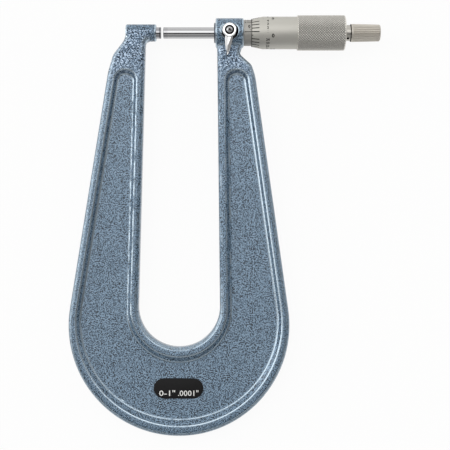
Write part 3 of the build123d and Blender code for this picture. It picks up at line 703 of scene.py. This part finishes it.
# Ratchet stem: turned steel, satin chromed, with teeth on its rear face. A hole for a pin spanner
# is drilled into its side after plating. The toothed disc and the coil spring that press on it are
# hardened steel, and so are the slotted screw behind them and the screw under the lock lever.
def spanner_hole(tree, place):
    """One inside the drilled hole and round its edge, which are painted black as the hole's shade."""
    thimble_face, hole_turn, hole_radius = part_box("thimble")[1].x, radians(55), 0.75 * MM
    stem_middle = (thimble_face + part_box("ratchet_knob")[0].x) / 2
    outwards = Vector((0, -sin(hole_turn), cos(hole_turn)))
    from_middle = add(tree, "ShaderNodeVectorMath", {
        0: place, 1: Vector((stem_middle, 0, 0))}, operation="SUBTRACT").outputs[0]
    across = add(tree, "ShaderNodeVectorMath", {
        0: from_middle, 1: outwards}, operation="CROSS_PRODUCT").outputs[0]
    aside = add(tree, "ShaderNodeVectorMath", {0: across}, operation="LENGTH").outputs["Value"]
    reach = add(tree, "ShaderNodeVectorMath", {
        0: from_middle, 1: outwards}, operation="DOT_PRODUCT").outputs["Value"]
    near = add(tree, "ShaderNodeMath", {0: aside, 1: hole_radius}, operation="LESS_THAN").outputs[0]
    front = add(tree, "ShaderNodeMath", {0: reach, 1: 0.0}, operation="GREATER_THAN").outputs[0]
    return add(tree, "ShaderNodeMath", {0: near, 1: front}, operation="MULTIPLY").outputs[0]


# Chrome on turned steel: a little shinier than the satin, and painted black at the hole, as its shade.
# The hardened steel inside is plain grey.
dress(metal("drilled_chrome", "#b9b6af", 0.36, depth=0.003, dark=spanner_hole), "ratchet_stem")
dress(metal("hardened_steel", "#b4b4b0", 0.25),
      "ratchet_disc", "ratchet_spring", "ratchet_screw", "lock_screw")


# Ratchet knob: turned from aluminium bar, grooved along its length for grip and anodised champagne.
# It is hollow in front for the disc and the spring, with three keyways for the disc's lugs, and
# has a well behind for its screw.
def cut(piece, other, operation):
    """Adds another shape to a piece, or takes it away, and deletes the other."""
    change = piece.modifiers.new("cut", "BOOLEAN")
    change.operation = operation
    change.object = other
    change.solver = "EXACT"
    baked(piece)
    bpy.data.objects.remove(other)


def shaded(piece, material, smooth_below):
    """Gives a cut piece its material, and smooth shading below an angle in degrees."""
    piece.data.materials.clear()
    piece.data.materials.append(material)
    piece.data.shade_smooth()
    piece.data.set_sharp_from_angle(angle=radians(smooth_below))


knob_low, knob_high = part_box("ratchet_knob")
knob_start, knob_end = knob_low.x / MM, knob_high.x / MM
knob_radius, rear_radius, rear_rounding = knob_high.y / MM, 4.65, 0.5
spring_bore, screw_hole, screw_well = 3.75, 1.05, 2.4
wall_start, wall_end = knob_start + 8.2, knob_start + 10.8
plain_band, knob_grooves, knob_groove_depth = 1.3, 28, 0.32
keyway_length, keyway_width, keyway_inside, keyway_reach = 2.5, 1.5, 3.0, 4.2
groove_start, knob_round, gap_shade_width = knob_start + plain_band, knob_grooves * 4, 0.3
bm = spun([
    (knob_start, spring_bore),
    (knob_start, knob_radius - 0.25),
    (knob_start + 0.25, knob_radius),
    (groove_start, knob_radius),
    (groove_start + 0.05, knob_radius),
    (knob_end - rear_rounding, rear_radius),
    (knob_end - rear_rounding * 0.4, rear_radius - rear_rounding * 0.6),
    (knob_end, rear_radius - rear_rounding),
    (knob_end, screw_well),
    (wall_end, screw_well),
    (wall_end, screw_hole),
    (wall_start, screw_hole),
    (wall_start, spring_bore),
], (1, 0, 0), knob_round)
for vert in bm.verts:
    around = atan2(vert.co.y, vert.co.z) / (2 * pi) * knob_round
    grooved_length = groove_start + 0.02 < vert.co.x / MM < knob_end - rear_rounding * 0.9
    if grooved_length and vert.co.yz.length > (rear_radius - 0.1) * MM and round(around) % 4 == 0:
        vert.co.yz *= 1 - knob_groove_depth / knob_radius
knob = finished(bm, "grooved_knob", None)
for turn in (0, 120, 240):
    bm = bmesh.new()
    bmesh.ops.create_cube(bm, size=1)
    bmesh.ops.scale(
        bm, verts=bm.verts, vec=(keyway_length * 2, keyway_width, keyway_reach - keyway_inside))
    bmesh.ops.translate(
        bm, verts=bm.verts, vec=(knob_start, 0, (keyway_reach + keyway_inside) / 2))
    for vert in bm.verts:
        x, y, z = vert.co
        vert.co = Vector((
            x,
            y * cos(radians(turn)) - z * sin(radians(turn)),
            y * sin(radians(turn)) + z * cos(radians(turn)))) * MM
    cut(knob, finished(bm, "keyway", None), "DIFFERENCE")
# Champagne anodising: a warm matt silver. Its front edge is painted black, as shade in the gap in front
# of it.
shaded(knob, metal(
    "champagne_anodising", "#cdc8bf", 0.6, marks=(0.12, 0.12, 0.12), depth=0.001,
    dark=in_front_of(knob_start + gap_shade_width)), smooth_below=20)
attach(knob, "ratchet")
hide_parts("ratchet_knob")


# Lock lever: steel, bright chromed. A round hub with a well for its screw, and a tail whose top is
# faceted: its flat middle runs out to a ridge on the way to the tip.
lever_low, lever_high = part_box("lock_lever")
lock_x = (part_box("lock_screw")[0].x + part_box("lock_screw")[1].x) / 2 / MM
hub_bottom, hub_top = lever_low.z / MM, lever_high.z / MM
hub_bore, well_radius, well_depth, hub_radius = 1.5, 2.6, 0.8, 4.1
hub = finished(spun([
    (hub_bottom, hub_bore),
    (hub_bottom, hub_radius - 0.1),
    (hub_bottom + 0.1, hub_radius),
    (hub_bottom + 0.7, hub_radius - 0.03),
    (hub_top - 0.35, hub_radius - 0.2),
    (hub_top - 0.12, hub_radius - 0.35),
    (hub_top, hub_radius - 0.6),
    (hub_top, well_radius + 0.1),
    (hub_top - 0.1, well_radius),
    (hub_top - well_depth, well_radius),
    (hub_top - well_depth, hub_bore),
], (0, 0, 1), 96, middle=(lock_x, 0, 0)), "lever", None)

# Each section of the tail has its distance from the axis. Then come the places across it of its
# left side, its ridge, both sides of its flat and its right side, and the heights of its left edge
# and its ridge.
tail_lean, tail_bottom = radians(5.6), 8.3
tail_sections = [
    (3.2, -2.1, -1.15, -0.7, 1.25, 2.25, 8.62, 9.5),
    (5.6, -1.95, -1.0, -0.55, 0.75, 2.1, 8.62, 9.5),
    (8.8, -1.45, -0.6, -0.3, -0.15, 1.6, 8.6, 9.4),
    (12.4, -0.7, -0.28, -0.15, -0.1, 0.75, 8.5, 9.0),
    (13.5, -0.3, -0.1, -0.04, 0.0, 0.3, 8.48, 8.78),
    (13.8, -0.1, -0.04, -0.02, 0.0, 0.1, 8.45, 8.6),
]
ridge_slope = 0.75
bm = bmesh.new()
rings = []
for reach, left, ridge, flat_left, flat_right, right, edge_height, ridge_height in tail_sections:
    flat_height = ridge_height - ridge_slope * (flat_left - ridge)
    outline = [(left, tail_bottom), (left, edge_height), (ridge, ridge_height), (flat_left, flat_height),
               (flat_right, flat_height), (right, edge_height - 0.3), (right, tail_bottom)]
    corners = [bm.verts.new(Vector((
        lock_x - sin(tail_lean) * reach + cos(tail_lean) * side,
        -cos(tail_lean) * reach - sin(tail_lean) * side,
        height)) * MM) for side, height in outline]
    rings.append([bm.edges.new(pair) for pair in zip(corners, corners[1:] + corners[:1])])
for ring, following in zip(rings, rings[1:]):
    bmesh.ops.bridge_loops(bm, edges=ring + following)
bmesh.ops.holes_fill(bm, edges=rings[0] + rings[-1], sides=7)
bmesh.ops.recalc_face_normals(bm, faces=bm.faces)
tail = finished(bm, "tail", None)
cut(hub, tail, "UNION")
# Bright chrome: almost a mirror, so each facet shows one tone of the studio.
shaded(hub, metal("bright_chrome", "#dedede", 0.09), smooth_below=12)
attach(hub, "lock_lever")
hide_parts("lock_lever")


# Lock screw and washer: the lever is held by a small cross-head screw of plated steel on a
# blackened washer. The threaded lock screw under it presses a brass plug on the spindle.
screw_low, screw_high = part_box("lever_screw")
washer_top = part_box("lever_washer")[1].z / MM
shank_radius, head_radius = 0.8, 1.8
cross_turns, cross_length, cross_width, cross_depth = (40, 130), 2.3, 0.5, 0.9
screw_top = screw_high.z / MM
screw = finished(spun([
    (screw_low.z / MM, 0),
    (screw_low.z / MM, shank_radius - 0.15),
    (screw_low.z / MM + 0.15, shank_radius),
    (washer_top, shank_radius),
    (washer_top, head_radius),
    (screw_top - 0.8, head_radius),
    (screw_top - 0.5, head_radius - 0.15),
    (screw_top - 0.25, head_radius - 0.45),
    (screw_top - 0.1, head_radius - 0.85),
    (screw_top, 0.3),
    (screw_top, 0),
], (0, 0, 1), 64, middle=(lock_x, 0, 0)), "cross_head_screw", None)


def cross_recess(tree, place):
    """One in the middle of the cross, where its four arms meet: painted shade, for where they run down
    out of the light.
    """
    dark_radius = 0.68 * MM
    level = add(tree, "ShaderNodeVectorMath", {0: place, 1: (1, 1, 0)}, operation="MULTIPLY").outputs[0]
    from_axis = add(tree, "ShaderNodeVectorMath", {
        0: level, 1: (lock_x * MM, 0, 0)}, operation="DISTANCE").outputs["Value"]
    return add(tree, "ShaderNodeMath", {
        0: from_axis, 1: dark_radius}, operation="LESS_THAN").outputs[0]


for turn in cross_turns:
    bm = bmesh.new()
    corners = bmesh.ops.create_cube(bm, size=1)["verts"]
    bmesh.ops.scale(bm, verts=corners, vec=(cross_length, cross_width, 2 * cross_depth))
    bottom = [vert for vert in corners if vert.co.z < 0]
    bmesh.ops.scale(bm, verts=bottom, vec=(0.45, 0.6, 1))
    arm = finished(bm, "arm", None)
    for vert in arm.data.vertices:
        x, y, z = vert.co
        vert.co = Vector((
            lock_x + x * cos(radians(turn)) - y * sin(radians(turn)),
            x * sin(radians(turn)) + y * cos(radians(turn)),
            screw_top + z)) * MM
    cut(screw, arm, "DIFFERENCE")
# Nickel plate: a softer mirror than the lever's chrome.
# The middle of the cross is painted black, as shade.
shaded(screw, metal("nickel_plate", "#b8b8b9", 0.2, dark=cross_recess), smooth_below=32)
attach(screw, "lock_lever")
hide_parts("lever_screw")
# Drawn brass is yellow under its dulled skin. Blackened steel shows as a black ring round the screw.
dress(metal("brass", "#b99a55", 0.3), "lock_plug")
dress(coated("blackened_steel", "#050505", 0.7, gloss=0.03), "lever_washer")
